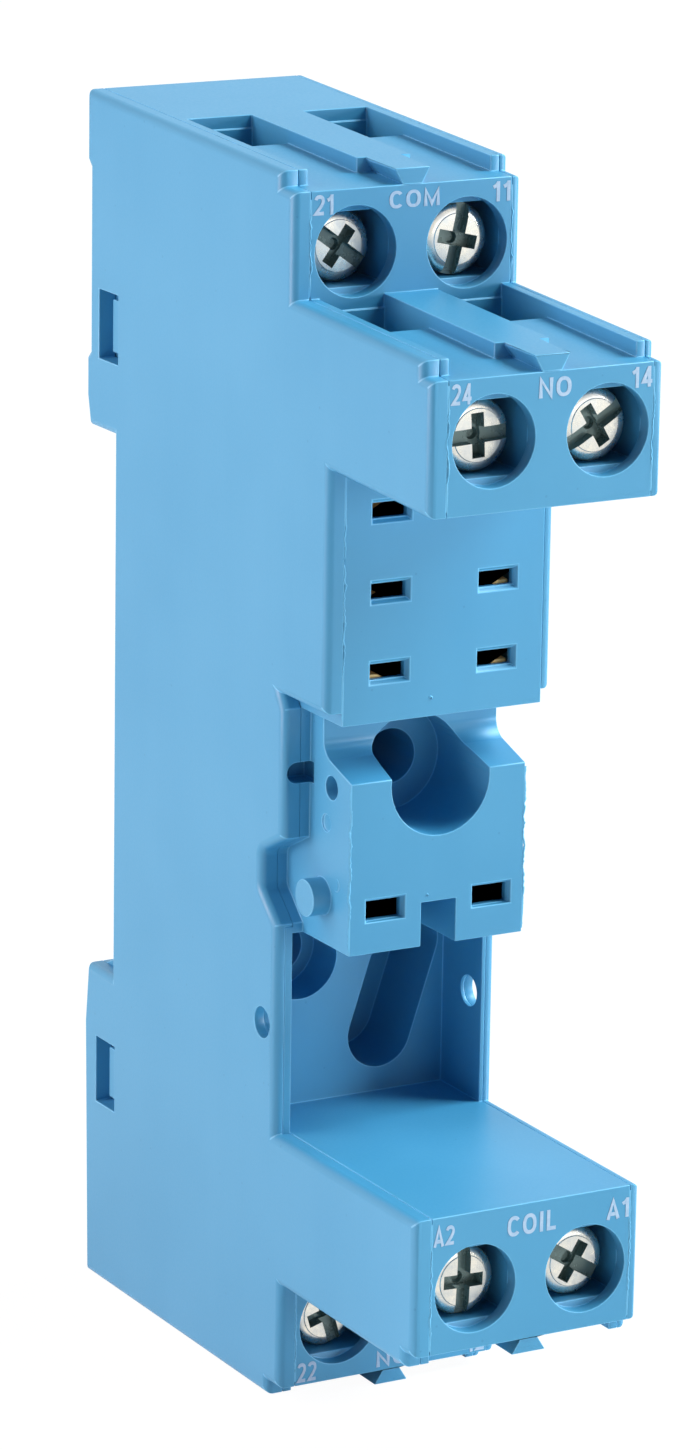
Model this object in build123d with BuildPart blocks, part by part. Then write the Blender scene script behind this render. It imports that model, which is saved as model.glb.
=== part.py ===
from build123d import *

import os
from dataclasses import dataclass

# A two pole relay socket for a mounting rail or a panel.
# X runs across the socket, -Y is the front, +Z is up. The origin is the middle of the rail seat.
# A depth is the distance out from the rail seat towards the front, so Y = -depth.

# Width and walls across the socket
width = 15.8
left_cover_wall = 1.25
right_cover_wall = 0.62
side_skin = 0.6
recess_skin = 0.28
recess_lip = 0.53
rib_width = 3.7
left_inset = 0.7
right_inset = 0.98

# Feet and rail notch at the back
foot_depth = 4.0
notch_half = 18.1
foot_lip = 0.45
hook_rise = 0.5
hook_relief = 0.3
heel_height = 4.5
bottom_setback = 0.35

# Front planes, as depths
back_front = 23.6
main_front = 40.45
seat_front = 28.4

# Heights of the terminal faces
upper_back_edge = 37.4
upper_main_edge = 29.0
upper_main_under = 20.85
under_rise = 0.55
lower_main_top = -22.15
lower_main_edge = -30.9
lower_back_edge = -38.7

# Wire rails and the dovetail keys between them
rail_rise = 1.0
lower_rail_rise = 0.92
rail_slope = 0.05
floor_slope = 0.06
back_setback = 1.6
main_setback = 1.15
key_length = 3.65
key_top = 2.36
key_foot = 1.2

# Wire holes, as depths from the rail seat
back_wire_near = 6.5
back_wire_far = 11.2
main_wire_near = 23.7
main_wire_far = 29.1
back_trough_end = 6.4

# Screw wells
screw_pitch = 7.74
screw_inset = 3.85
well_diameter = 5.6
well_ring_depth = 1.0
well_height = 4.6

# Screws
head_diameter = 4.5
head_height = 1.8
head_rim = 0.5
shank_diameter = 3.0
screw_reach = 8.8
slot_width = 0.75
slot_depth = 0.9
cross_length = 3.0
cross_depth = 1.15

# Brass clamp and strip
sheet = 0.8
cover_gap = 0.3
clamp_start = 7.8
thread_wall = 2.0
clamp_end = 18.0
clamp_height = 4.4
strip_width = 2.4
running_gap = 0.05
fit_gap = 0.1

# Clamp plate
plate_thickness = 1.0
plate_height = 4.1
plate_side_gap = 0.15
groove_radius = 1.4
groove_sink = 0.3

# Strip routes, as depths of the upright runs
back_run = 4.8
coil_run = 10.6
main_run = 20.6

# Relay pins
pin_pitch = 7.5
pin_heights = {"no": 18.6, "com": 13.6, "nc": 8.6, "coil": -6.4}
slot_mouth_width = 2.8
slot_mouth_height = 1.5
slot_throat_width = 2.4
slot_throat_height = 1.0
slot_mouth_depth = 0.35
slot_lead_angle = 30
seat_wall = 0.8
leaf_width = 2.4
leaf = 0.35
leaf_root = 0.8
leaf_pinch = 0.2
leaf_mouth = 0.32
pinch_back = 1.6
web_depth = 19.4
web = 0.4
receptacle_half = 1.25

# Seat and central block
seat_bottom = 5.45
cover_corner = 6.3
block_top = 1.75
block_bottom = -9.15
groove_lip_depth = 25.7
groove_lip_height = 2.6
groove_depth = 24.8
groove_height = 3.9
block_notch_width = 2.45
block_notch_height = 2.8
block_notch_end = 19.0
pivot_diameter = 2.35
pivot_depth = 24.9
pivot_height = -6.15
pivot_rise = 1.25
dimple_diameter = 1.5
dimple_depth = 25.9
dimple_height = 0.95
dimple_sink = 2.5
ejector_diameter = 1.1
ejector_depth = 25.3
ejector_height = -1.4
ejector_sink = 0.12

# Cut-out in the side around the central block
cutout_depth = 23.2
cutout_corner = 22.6
right_setback = 1.6
right_cutout_depth = cutout_depth - right_setback
bay_sink = 2.8
bay_depth = cutout_depth - bay_sink
bay_top = -4.2
bay_bottom = -6.6
bay_lip_height = -8.5
bay_round = 0.8
clip_slot_width = 1.3
clip_slot_height = 1.35
clip_slot_sink = 1.5
clip_slot_skin = 0.35
clip_slot_bite = 0.4

# Lower recess
recess_edge = 22.5
lip_root = 0.6
recess_back = 17.6
clip_hole_diameter = 2.0
clip_hole_depth = 20.9
clip_hole_height = -15.2
pocket_width = 4.5
pocket_low = (2.4, -18.3)
pocket_high = (4.3, -12.5)
pocket_sink = 5.0

# Panel screws
access_diameter = 6.9
access_floor = 22.0
upper_screw_height = 1.3
panel_hole_diameter = 3.5
lower_screw_x = -3.4
lower_screw_height = -12.65
lower_hole_diameter = 3.4
lower_counterbore = 5.2
lower_counterbore_sink = 3.0

# Cover snaps
snap_height = 25.0
window_height = 4.5
window_front = 0.6
window_back = 2.12
tab_height = 3.4
tab_back = 1.1
tab_below_face = 0.4
edge_round = 0.55

# Values that follow from the sizes above
body_left = -width / 2 + left_cover_wall
body_right = width / 2 - right_cover_wall
centre = (body_left + body_right) / 2
block_left = body_left + left_inset
block_right = body_right - right_inset
clamp_half = (body_right - body_left) / 2 - cover_gap - screw_pitch / 2


@dataclass(frozen=True)
class Tier:
    """One row of two terminals, with its rails on the side where the wires enter."""

    front: float
    edge: float
    up: int
    rise: float
    slope: float
    floor: float
    setback: float
    trough_end: float
    wire_near: float
    wire_far: float
    run: float
    pin: str
    left: str
    right: str
    head_sinks: tuple
    slot_angles: tuple

    def rail_at(self, depth):
        """Height of the rails' outer face at a depth."""
        return self.edge + self.up * (self.rise + self.slope * (self.front - depth))

    def floor_at(self, depth):
        """Height of the trough's floor at a depth."""
        return self.edge + self.up * self.floor * (self.front - depth)

    @property
    def screw_height(self):
        """Height of the two screws' axes."""
        return self.edge - self.up * screw_inset

    @property
    def pin_height(self):
        """Height of the two relay pins that this row feeds."""
        return pin_heights[self.pin]

    @property
    def open_height(self):
        """A height clear of the rails, for cuts that are open on the wire side."""
        return self.edge + self.up * foot_depth

    @property
    def rail_end(self):
        """Depth where the rails stop, short of the front face."""
        return self.front - self.setback


com = Tier(back_front, upper_back_edge, 1, rail_rise, rail_slope, floor_slope, back_setback,
           back_trough_end, back_wire_near, back_wire_far, back_run, "com", "21", "11",
           (2.1, 1.2), (-36, 77))
no = Tier(main_front, upper_main_edge, 1, rail_rise, rail_slope, floor_slope, main_setback,
          back_front, main_wire_near, main_wire_far, main_run, "no", "24", "14",
          (1.9, 1.5), (3, 31))
coil = Tier(main_front, lower_main_edge, -1, lower_rail_rise, 0, 0, main_setback,
            back_front, main_wire_near, main_wire_far, coil_run, "coil", "A2", "A1",
            (1.5, 1.5), (88, -32))
nc = Tier(back_front, lower_back_edge, -1, lower_rail_rise, 0, 0, back_setback,
          back_trough_end, back_wire_near, back_wire_far, back_run, "nc", "22", "12",
          (1.6, 1.5), (-73, 20))
tiers = (com, no, coil, nc)
sides = (-1, 1)


def rectangle(a0, a1, b0, b1, mode=Mode.ADD):
    """Adds a rectangle, given by its four edges, to the sketch being built."""
    with Locations(((a0 + a1) / 2, (b0 + b1) / 2)):
        Rectangle(abs(a1 - a0), abs(b1 - b0), mode=mode)


def side_outline():
    """Adds the side view shared by the housing and both covers to a sketch in the YZ plane."""
    points = [
        (-foot_depth, com.rail_at(-foot_depth)),
        (com.rail_end, com.rail_at(com.rail_end)),
        (com.rail_end, com.floor_at(com.rail_end)),
        (back_front, upper_back_edge),
        (back_front, no.rail_at(back_front)),
        (no.rail_end, no.rail_at(no.rail_end)),
        (no.rail_end, no.floor_at(no.rail_end)),
        (main_front, upper_main_edge),
        (main_front, upper_main_under),
        (seat_front, upper_main_under + under_rise),
        (seat_front, cover_corner),
        (cutout_corner, cover_corner),
        (cutout_depth, seat_bottom),
        (cutout_depth, bay_top + (cutout_depth - bay_depth) / 2),
        (bay_depth, bay_top),
        (bay_depth, bay_bottom),
        (recess_edge, bay_lip_height),
        (recess_edge, lower_main_top),
        (main_front, lower_main_top),
        (main_front, lower_main_edge),
        (coil.rail_end, coil.floor_at(coil.rail_end)),
        (coil.rail_end, coil.rail_at(coil.rail_end)),
        (back_front, coil.rail_at(back_front)),
        (back_front, lower_back_edge),
        (nc.rail_end, nc.floor_at(nc.rail_end)),
        (nc.rail_end, nc.rail_at(nc.rail_end)),
        (bottom_setback - foot_depth, nc.rail_at(0)),
        (-foot_depth, -notch_half - foot_depth),
        (foot_lip - foot_depth, -notch_half),
        (0, -notch_half),
        (0, notch_half),
        (foot_lip - foot_depth, notch_half),
        (-foot_depth, notch_half + foot_depth / 2),
        (-foot_depth, notch_half + heel_height),
        (foot_lip - foot_depth, notch_half + heel_height + foot_lip),
        (foot_lip - foot_depth, com.rail_at(-foot_depth) - heel_height - foot_lip),
        (-foot_depth, com.rail_at(-foot_depth) - heel_height),
    ]
    with BuildLine() as outline:
        Polyline(*[(-depth, height) for depth, height in points], close=True)
    make_face(outline.edges())
    fillet(vertices().filter_by_position(Axis.X, -bay_depth - fit_gap, -bay_depth + fit_gap), bay_round)


def wall_depth(side):
    """Depth of the side cut-out's wall on one side; the right one is further back."""
    return right_cutout_depth if side > 0 else cutout_depth


def clip_slot(near, far):
    """Adds the clip slot, between two values of X, to a sketch in the XZ plane."""
    half = clip_slot_width / 2
    rectangle(near, far, clip_slot_height - half, clip_slot_height + half)


def strip_legs(tier, grow=0.0):
    """Adds the flat strip's legs, from the clamp to the relay pin, to a sketch in the YZ plane."""
    half = strip_width / 2 + grow
    clamp_rear = tier.front - clamp_end
    low, high = sorted((tier.pin_height, tier.screw_height))
    rectangle(-tier.run - half, -tier.run + half, low - half, high + half)
    rectangle(-clamp_rear - strip_width, -tier.run, tier.screw_height - half, tier.screw_height + half)
    if tier.run < web_depth:
        rectangle(-web_depth - web - grow, -tier.run, tier.pin_height - half, tier.pin_height + half)


def side_x(side, inset):
    """X of a plane set in from the housing's side; side is -1 on the left and 1 on the right."""
    return body_right - inset if side > 0 else body_left + inset


def screw_x(side):
    """X of the screws' axes on one side."""
    return centre + side * screw_pitch / 2


def pin_x(side):
    """X of the relay pins on one side."""
    return centre + side * pin_pitch / 2


def recess_lip_plan():
    """Adds the plan of the lip beside the lower recess to a sketch in the XY plane."""
    rectangle(body_left - recess_lip, body_left, -recess_edge, -recess_back + lip_root)


lip_start = lower_main_top - lip_root
lip_height = block_bottom - lower_main_top + 2 * lip_root

# Housing: the full-width body with the central block in front of it
with BuildPart() as housing:
    with BuildSketch(Plane.YZ.offset(body_left)):
        side_outline()
    extrude(amount=body_right - body_left)

    # the right side's cut-out lies further back
    with BuildSketch(Plane.YZ.offset(block_right)):
        rectangle(-cutout_depth, -right_cutout_depth, bay_top, seat_bottom)
    extrude(amount=body_right - block_right, mode=Mode.SUBTRACT)

    # underside of the seat and the rail hook on the lower foot
    with BuildSketch(Plane.YZ.offset(body_left)):
        rectangle(-seat_front, -cutout_corner + fit_gap, seat_bottom, cover_corner + fit_gap)
        Polygon(
            (hook_rise, -notch_half),
            (foot_depth / 2, -notch_half + hook_rise),
            (foot_depth - 2 * hook_rise, -notch_half),
            align=None,
        )
    extrude(amount=body_right - body_left)

    # relief in the rail seat under the hook
    with BuildSketch(Plane.YZ.offset(body_left)):
        rectangle(-hook_relief, 0, -notch_half, -notch_half + hook_rise + fit_gap)
    extrude(amount=body_right - body_left, mode=Mode.SUBTRACT)

    # central block with the finger groove above it
    with BuildSketch(Plane.YZ.offset(block_left)):
        with BuildLine():
            face = Polyline(
                (-recess_back, seat_bottom),
                (-recess_back, block_bottom),
                (-seat_front, block_bottom),
                (-seat_front, block_top),
                (-groove_lip_depth, groove_lip_height),
            )
            bend = TangentArc(face @ 1, (-groove_depth, groove_height), tangent=face % 1)
            Polyline(bend @ 1, (-groove_depth, seat_bottom), (-recess_back, seat_bottom))
        make_face()
    extrude(amount=block_right - block_left)

    # lower recess, open to the front, with a lip let into the left cover and a thin right skin
    with BuildSketch(Plane.XY.offset(lower_main_top)):
        rectangle(body_left, body_right - recess_skin, -recess_edge, -recess_back)
    extrude(amount=block_bottom - lower_main_top, mode=Mode.SUBTRACT)
    with BuildSketch(Plane.XY.offset(lip_start)):
        recess_lip_plan()
    extrude(amount=lip_height)
    with BuildSketch(Plane.YZ.offset(body_left - recess_lip)):
        with Locations((-clip_hole_depth, clip_hole_height)):
            Circle(clip_hole_diameter / 2)
    extrude(amount=body_right - body_left + recess_lip, mode=Mode.SUBTRACT)

    for side in sides:
        # troughs on both sides of the rib, from the wire holes to the front faces
        inner = centre + side * rib_width / 2
        with BuildSketch(Plane.YZ.offset(inner)):
            for tier in tiers:
                Polygon(
                    (-tier.trough_end, tier.floor_at(tier.trough_end)),
                    (-tier.front, tier.edge),
                    (-tier.front, tier.open_height),
                    (-tier.trough_end, tier.open_height),
                    align=None,
                )
        extrude(amount=side_x(side, side_skin) - inner, mode=Mode.SUBTRACT)

        # channels for the flat strips, open to the cover
        with BuildSketch(Plane.YZ.offset(side_x(side, 0))):
            for tier in tiers:
                strip_legs(tier, fit_gap)
        extrude(amount=-side * (cover_gap + sheet), mode=Mode.SUBTRACT)

    # wire holes down to the clamps
    for tier in tiers:
        with BuildSketch(Plane.XY.offset(tier.screw_height)):
            for side in sides:
                rectangle(
                    centre + side * rib_width / 2,
                    side_x(side, side_skin),
                    -tier.wire_far,
                    -tier.wire_near,
                )
        extrude(amount=tier.open_height - tier.screw_height, mode=Mode.SUBTRACT)

    for row in ((com, nc), (no, coil)):
        front = row[0].front
        axes = [(screw_x(side), tier.screw_height) for tier in row for side in sides]
        # the rib narrows to a dovetail key at the front
        with BuildSketch(Plane.XZ.offset(front)):
            for tier in row:
                for side in sides:
                    Polygon(
                        (centre + side * rib_width / 2, tier.edge),
                        (centre + side * key_foot / 2, tier.edge),
                        (centre + side * key_top / 2, tier.rail_at(front)),
                        (centre + side * key_top / 2, tier.open_height),
                        (centre + side * rib_width / 2, tier.open_height),
                        align=None,
                    )
        extrude(amount=-key_length, mode=Mode.SUBTRACT)

        # screw wells: a round ring at the face, then a flat-sided well
        with BuildSketch(Plane.XZ.offset(front)):
            with Locations(axes):
                Circle(well_diameter / 2)
        extrude(amount=-well_ring_depth, mode=Mode.SUBTRACT)
        with BuildSketch(Plane.XZ.offset(front - well_ring_depth)):
            with Locations(axes):
                Rectangle(well_diameter, well_height)
        extrude(amount=well_ring_depth - clamp_start, mode=Mode.SUBTRACT)

        # chambers for the clamps, open to the covers
        with BuildSketch(Plane.XZ.offset(front - clamp_start + fit_gap)):
            for side in sides:
                for tier in row:
                    rectangle(
                        side_x(side, 0),
                        screw_x(side) - side * (clamp_half + fit_gap),
                        tier.screw_height - clamp_height / 2 - fit_gap,
                        tier.screw_height + clamp_height / 2 + fit_gap,
                    )
        extrude(amount=clamp_start - clamp_end - 2 * fit_gap, mode=Mode.SUBTRACT)

    # pockets for the receptacles and the passages of their webs
    leaf_half = leaf_width / 2 + fit_gap
    with BuildSketch(Plane.XZ.offset(seat_front - seat_wall)):
        for side in sides:
            for tier in tiers:
                rectangle(
                    pin_x(side) + side * leaf_half if tier is coil else side_x(side, 0),
                    pin_x(side) - side * leaf_half,
                    tier.pin_height - receptacle_half,
                    tier.pin_height + receptacle_half,
                )
    extrude(amount=seat_wall + web_depth - fit_gap - seat_front, mode=Mode.SUBTRACT)
    with BuildSketch(Plane.XZ.offset(web_depth + web + fit_gap)):
        for side in sides:
            for tier in tiers:
                rectangle(
                    side_x(side, 0),
                    pin_x(side),
                    tier.pin_height - receptacle_half,
                    tier.pin_height + receptacle_half,
                )
    extrude(amount=-web - 2 * fit_gap, mode=Mode.SUBTRACT)

    # slots for the relay's pins, with a lead-in at the seat
    pins = [(pin_x(side), tier.pin_height) for tier in tiers for side in sides]
    with BuildSketch(Plane.XZ.offset(seat_front)):
        with Locations(pins):
            Rectangle(slot_mouth_width, slot_mouth_height)
    extrude(amount=-slot_mouth_depth, taper=slot_lead_angle, mode=Mode.SUBTRACT)
    with BuildSketch(Plane.XZ.offset(seat_front)):
        with Locations(pins):
            Rectangle(slot_throat_width, slot_throat_height)
    extrude(amount=-seat_wall, mode=Mode.SUBTRACT)

    # notch under the central block
    with BuildSketch(Plane.XZ.offset(seat_front)):
        rectangle(
            centre - block_notch_width / 2,
            centre + block_notch_width / 2,
            block_bottom,
            block_bottom + block_notch_height,
        )
    extrude(amount=block_notch_end - seat_front, mode=Mode.SUBTRACT)

    # upper panel screw: wide access from the front
    with BuildSketch(Plane.XZ.offset(seat_front)):
        with Locations((centre, upper_screw_height)):
            Circle(access_diameter / 2)
        rectangle(-width, width, seat_bottom, seat_bottom + access_diameter, mode=Mode.SUBTRACT)
    extrude(amount=access_floor - seat_front, mode=Mode.SUBTRACT)

    # lower panel screw: counterbore in the recess, and the slanted pocket beside it
    with BuildSketch(Plane.XZ.offset(recess_back)):
        with Locations((lower_screw_x, lower_screw_height)):
            Circle(lower_counterbore / 2)
    extrude(amount=-lower_counterbore_sink, mode=Mode.SUBTRACT)
    with BuildSketch(Plane.XZ.offset(recess_back)):
        run = Vector(*pocket_high) - Vector(*pocket_low)
        lean = Vector(1, 0, 0).get_signed_angle(run, Vector(0, 0, 1))
        with Locations(Vector(*pocket_low) + run * 0.5):
            SlotCenterToCenter(run.length, pocket_width, rotation=lean)
    extrude(amount=-pocket_sink, mode=Mode.SUBTRACT)

    # both panel screws' holes, through to the rail seat
    with BuildSketch(Plane.XZ):
        with Locations((centre, upper_screw_height)):
            Circle(panel_hole_diameter / 2)
        with Locations((lower_screw_x, lower_screw_height)):
            Circle(lower_hole_diameter / 2)
    extrude(amount=seat_front, mode=Mode.SUBTRACT)

    for side, flank, reach in (
        (-1, block_left, left_cover_wall),
        (1, block_right, right_cover_wall),
    ):
        # pivot boss and dimple for the relay's retaining clip, and an ejector's mark
        with BuildSketch(Plane.YZ.offset(flank)):
            with Locations((-pivot_depth, pivot_height)):
                Circle(pivot_diameter / 2)
        extrude(amount=side * pivot_rise)
        with BuildSketch(Plane.YZ.offset(flank)):
            with Locations((-dimple_depth, dimple_height)):
                Circle(dimple_diameter / 2)
        extrude(amount=-side * dimple_sink, mode=Mode.SUBTRACT)
        with BuildSketch(Plane.YZ.offset(flank)):
            with Locations((-ejector_depth, ejector_height)):
                Circle(ejector_diameter / 2)
        extrude(amount=-side * ejector_sink, mode=Mode.SUBTRACT)
        # clip slot in the wall of the cut-out, which bites into the block's flank
        with BuildSketch(Plane.XZ.offset(wall_depth(side) + clip_slot_bite)):
            clip_slot(side_x(side, 0), flank - side * clip_slot_bite)
        extrude(amount=-clip_slot_bite - clip_slot_sink, mode=Mode.SUBTRACT)
        # snap tabs that hold the cover, with a ramp at the front
        tab_face = side_x(side, -reach * (1 - tab_below_face))
        for height in (-snap_height, snap_height):
            with BuildSketch(Plane.XY.offset(height - tab_height / 2)):
                Polygon(
                    (side_x(side, 0), -window_front + fit_gap),
                    (tab_face, 0),
                    (tab_face, tab_back),
                    (side_x(side, 0), tab_back),
                    align=None,
                )
            extrude(amount=tab_height)
housing.part.label = "housing_body"
export_step(housing.part, "parts/housing_body.step")


def make_cover(side, wall):
    """Builds one side cover, a moulded plate with the socket's side view and rounded outer edges."""
    with BuildPart() as cover:
        with BuildSketch(Plane.YZ.offset(side_x(side, 0))):
            side_outline()
            if side > 0:
                rectangle(-cutout_depth, -right_cutout_depth, bay_top, cover_corner, mode=Mode.SUBTRACT)
        extrude(amount=side * wall)
        outer = cover.faces().sort_by(Axis.X)[-1 if side > 0 else 0]
        fillet(outer.edges(), radius=min(edge_round, wall * 0.7))
        with BuildSketch(Plane.YZ.offset(side_x(side, 0))):
            for height in (-snap_height, snap_height):
                rectangle(-window_front, window_back, height - window_height / 2, height + window_height / 2)
            with Locations((-clip_hole_depth, clip_hole_height)):
                Circle(clip_hole_diameter / 2)
        extrude(amount=side * wall, mode=Mode.SUBTRACT)
        # clip slot with a round end, short of the outer face
        with BuildSketch(Plane.XZ.offset(wall_depth(side))):
            tip = side_x(side, 0) + side * (wall - clip_slot_skin - clip_slot_width / 2)
            clip_slot(side_x(side, 0), tip)
            with Locations((tip, clip_slot_height)):
                Circle(clip_slot_width / 2)
        extrude(amount=-clip_slot_sink, mode=Mode.SUBTRACT)
        # rebate for the housing's lip beside the recess
        if wall > recess_lip + edge_round:
            with BuildSketch(Plane.XY.offset(lip_start)):
                recess_lip_plan()
            extrude(amount=lip_height, mode=Mode.SUBTRACT)
    return cover.part


for side, wall, name in ((-1, left_cover_wall, "left_cover"), (1, right_cover_wall, "right_cover")):
    cover = make_cover(side, wall)
    cover.label = name
    export_step(cover, f"parts/{name}.step")


def make_strip(tier, side):
    """Builds one brass contact: a folded clamp, a flat strip and a two-leaf receptacle."""
    axis_x = screw_x(side)
    slot_x = pin_x(side)
    near = tier.front - clamp_start
    rear = tier.front - clamp_end
    outer = side_x(side, cover_gap)
    with BuildPart() as strip:
        # the clamp is a ring of folded sheet with a thick threaded front wall
        with BuildSketch(Plane.XY.offset(tier.screw_height - clamp_height / 2)):
            rectangle(axis_x - clamp_half, axis_x + clamp_half, -near, -rear)
            rectangle(
                axis_x - clamp_half + sheet,
                axis_x + clamp_half - sheet,
                -near + thread_wall,
                -rear - sheet,
                mode=Mode.SUBTRACT,
            )
        extrude(amount=clamp_height)
        with BuildSketch(Plane.XZ.offset(near)):
            with Locations((axis_x, tier.screw_height)):
                Circle(shank_diameter / 2 + running_gap)
        extrude(amount=-thread_wall, mode=Mode.SUBTRACT)

        # flat strip, in one plane with the clamp's outer wall
        with BuildSketch(Plane.YZ.offset(outer)):
            strip_legs(tier)
        extrude(amount=-side * sheet)

        # the web turns across to the slot and carries the two leaves
        with BuildSketch(Plane.XZ.offset(web_depth)):
            rectangle(
                outer,
                slot_x - side * leaf_width / 2,
                tier.pin_height - leaf_root - leaf,
                tier.pin_height + leaf_root + leaf,
            )
        extrude(amount=web)
        with BuildSketch(Plane.YZ.offset(slot_x - leaf_width / 2)):
            tip = seat_front - seat_wall - fit_gap
            for way in (-1, 1):
                heights = (leaf_root, leaf_pinch, leaf_mouth)
                depths = (web_depth + web / 2, tip - pinch_back, tip)
                inside = [(-d, tier.pin_height + way * h) for d, h in zip(depths, heights)]
                outside = [(-d, tier.pin_height + way * (h + leaf)) for d, h in zip(depths, heights)]
                Polygon(*inside, *reversed(outside), align=None)
        extrude(amount=leaf_width)
    return strip.part


def make_screw(tier, side, sink, angle):
    """Builds one pan head terminal screw with a slot and a shorter cross arm."""
    axis_x = screw_x(side)
    face = -(tier.front - sink)
    height = tier.screw_height
    with BuildPart() as screw:
        with BuildSketch(Plane.YZ.offset(axis_x)):
            Polygon(
                (face, height),
                (face, height + head_diameter / 2 - head_rim),
                (face + head_rim, height + head_diameter / 2),
                (face + head_height, height + head_diameter / 2),
                (face + head_height, height + shank_diameter / 2),
                (face + screw_reach, height + shank_diameter / 2),
                (face + screw_reach, height),
                align=None,
            )
        revolve(axis=Axis((axis_x, 0, height), (0, 1, 0)))
        with BuildSketch(Plane.XZ.offset(-face)):
            with Locations((axis_x, height)):
                Rectangle(head_diameter, slot_width, rotation=angle)
        extrude(amount=-slot_depth, mode=Mode.SUBTRACT)
        with BuildSketch(Plane.XZ.offset(-face)):
            with Locations((axis_x, height)):
                Rectangle(slot_width, cross_length, rotation=angle)
                Rectangle(cross_length, slot_width, rotation=angle)
        extrude(amount=-cross_depth, mode=Mode.SUBTRACT)
    return screw.part


def make_plate(tier, side, sink):
    """Builds one clamp plate, held between the clamp's walls and grooved where it grips the wire."""
    axis_x = screw_x(side)
    screw_end = tier.front - sink - screw_reach - running_gap
    half = clamp_half - sheet - plate_side_gap
    with BuildPart() as plate:
        with BuildSketch(Plane.XY.offset(tier.screw_height - plate_height / 2)):
            rectangle(axis_x - half, axis_x + half, -screw_end, -screw_end + plate_thickness)
            with Locations((axis_x, -screw_end + plate_thickness + groove_radius - groove_sink)):
                Circle(groove_radius, mode=Mode.SUBTRACT)
        extrude(amount=plate_height)
    return plate.part


for tier in tiers:
    for side, name, sink, angle in zip((-1, 1), (tier.left, tier.right), tier.head_sinks, tier.slot_angles):
        pieces = {
            "contact_strip": make_strip(tier, side),
            "terminal_screw": make_screw(tier, side, sink, angle),
            "clamp_plate": make_plate(tier, side, sink),
        }
        for kind, piece in pieces.items():
            piece.label = f"{kind}_{name}"
            export_step(piece, f"parts/{kind}_{name}.step")
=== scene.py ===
"""Looks of a two pole relay socket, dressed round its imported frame."""

import logging
import random
from collections.abc import Callable
from dataclasses import dataclass
from enum import Enum
from math import cos, pi, radians, sin, tau

import bmesh
import bpy
from mathutils import Matrix, Vector


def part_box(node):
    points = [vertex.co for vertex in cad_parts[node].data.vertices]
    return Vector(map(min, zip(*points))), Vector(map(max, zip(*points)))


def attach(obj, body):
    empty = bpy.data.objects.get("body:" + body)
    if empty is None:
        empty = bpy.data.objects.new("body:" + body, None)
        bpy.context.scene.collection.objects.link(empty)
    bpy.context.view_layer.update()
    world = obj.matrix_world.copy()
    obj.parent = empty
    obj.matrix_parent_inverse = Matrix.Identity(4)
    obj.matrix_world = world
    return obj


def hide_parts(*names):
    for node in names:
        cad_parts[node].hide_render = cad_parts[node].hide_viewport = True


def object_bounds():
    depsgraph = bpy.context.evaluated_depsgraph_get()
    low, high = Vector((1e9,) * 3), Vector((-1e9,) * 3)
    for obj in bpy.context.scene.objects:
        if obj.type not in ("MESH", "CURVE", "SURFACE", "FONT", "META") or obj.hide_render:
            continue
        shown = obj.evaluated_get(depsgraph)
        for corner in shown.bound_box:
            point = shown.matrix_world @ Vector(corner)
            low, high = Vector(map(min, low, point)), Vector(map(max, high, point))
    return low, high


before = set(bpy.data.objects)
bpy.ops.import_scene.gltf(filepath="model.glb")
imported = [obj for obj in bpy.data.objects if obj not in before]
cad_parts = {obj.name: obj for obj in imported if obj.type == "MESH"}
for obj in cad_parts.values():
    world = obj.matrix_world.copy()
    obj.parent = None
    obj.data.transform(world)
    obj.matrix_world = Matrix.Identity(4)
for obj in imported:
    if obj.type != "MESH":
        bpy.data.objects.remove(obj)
CAD_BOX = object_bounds()

log = logging.getLogger("relay_socket")

MM = 0.001
ROOT = "socket"

Colour = tuple[float, float, float]
Point = tuple[float, float, float]
Ring = list[Vector]
Stroke = tuple[tuple[float, float], ...]


class Slot(Enum):
    """The record's material slots."""

    PLASTIC = "blue_plastic"
    BRASS = "brass"
    PLATE = "zinc_plate"
    SCREW = "zinc_screw"


@dataclass(frozen=True)
class Section:
    """Planes and widths of the socket that the dressing follows, in millimetres."""

    back_front: float = -23.6
    main_front: float = -40.45
    seat_front: float = -28.4
    relief: float = 0.06
    left_seam: float = -6.65
    right_seam: float = 7.28
    joint: float = 0.03
    lip_left: float = -7.18
    lip_top: float = -8.55
    lip_near: float = 0.02
    lip_lowered: float = 0.15
    block_left: float = -5.95
    block_right: float = 6.3
    centre: float = 0.315
    rib_half: float = 1.9
    rib_top_half: float = 1.0

    @property
    def face(self) -> float:
        """The main front's plane in the scene, set back to leave room for the flash on it."""
        return self.main_front + self.relief


SECTION = Section()


def rgba(colour: Colour) -> tuple[float, float, float, float]:
    """Adds a full alpha to a colour."""
    return (*colour, 1.0)


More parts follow.
